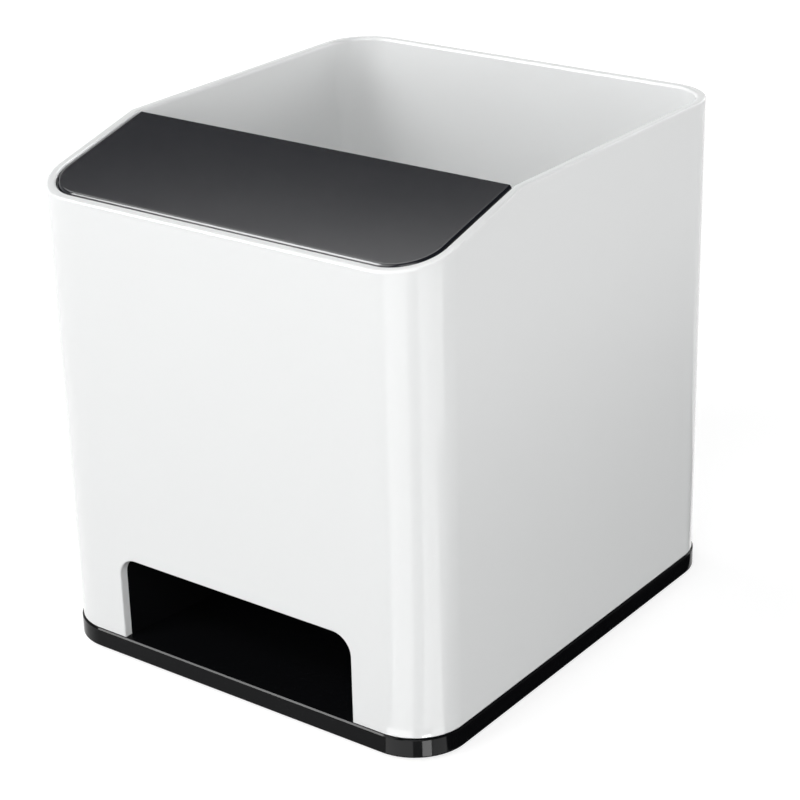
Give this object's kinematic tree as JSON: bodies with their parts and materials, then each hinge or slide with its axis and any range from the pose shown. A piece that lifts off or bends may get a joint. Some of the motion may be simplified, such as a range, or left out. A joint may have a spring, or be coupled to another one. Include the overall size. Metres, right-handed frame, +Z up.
{
  "type": "pen holder",
  "caption": "Desk pen holder: white sleeve on a black base, slanted dark cover, phone slot behind it and a curved duct to a sound outlet at the front.",
  "frame": {"origin": "middle of the covered rectangle, on the table", "axes": "+Z up, -Y the front with the outlet, +X to the right seen from the front"},
  "size_m": [0.09, 0.101, 0.1],
  "materials": {
    "shell_white": "high-gloss white moulded plastic",
    "cover_charcoal": "dark charcoal moulded plastic with a satin sheen",
    "cradle_black": "black moulded plastic, satin",
    "pad_rubber": "soft black rubber",
    "divider_white": "white moulded plastic",
    "base_black": "high-gloss black moulded plastic",
    "screw_steel": "zinc-plated steel",
    "foot_rubber": "soft black rubber"
  },
  "bodies": {
    "root": {"outer_shell": "shell_white", "front_cover": "cover_charcoal", "phone_cradle": "cradle_black", "phone_rest_pad": "pad_rubber", "slot_divider": "divider_white", "base_tray": "base_black", "base_screws": "screw_steel", "cradle_screws": "screw_steel", "foot_front_left": "foot_rubber", "foot_front_right": "foot_rubber", "foot_rear_left": "foot_rubber", "foot_rear_right": "foot_rubber"}
  },
  "joints": []
}
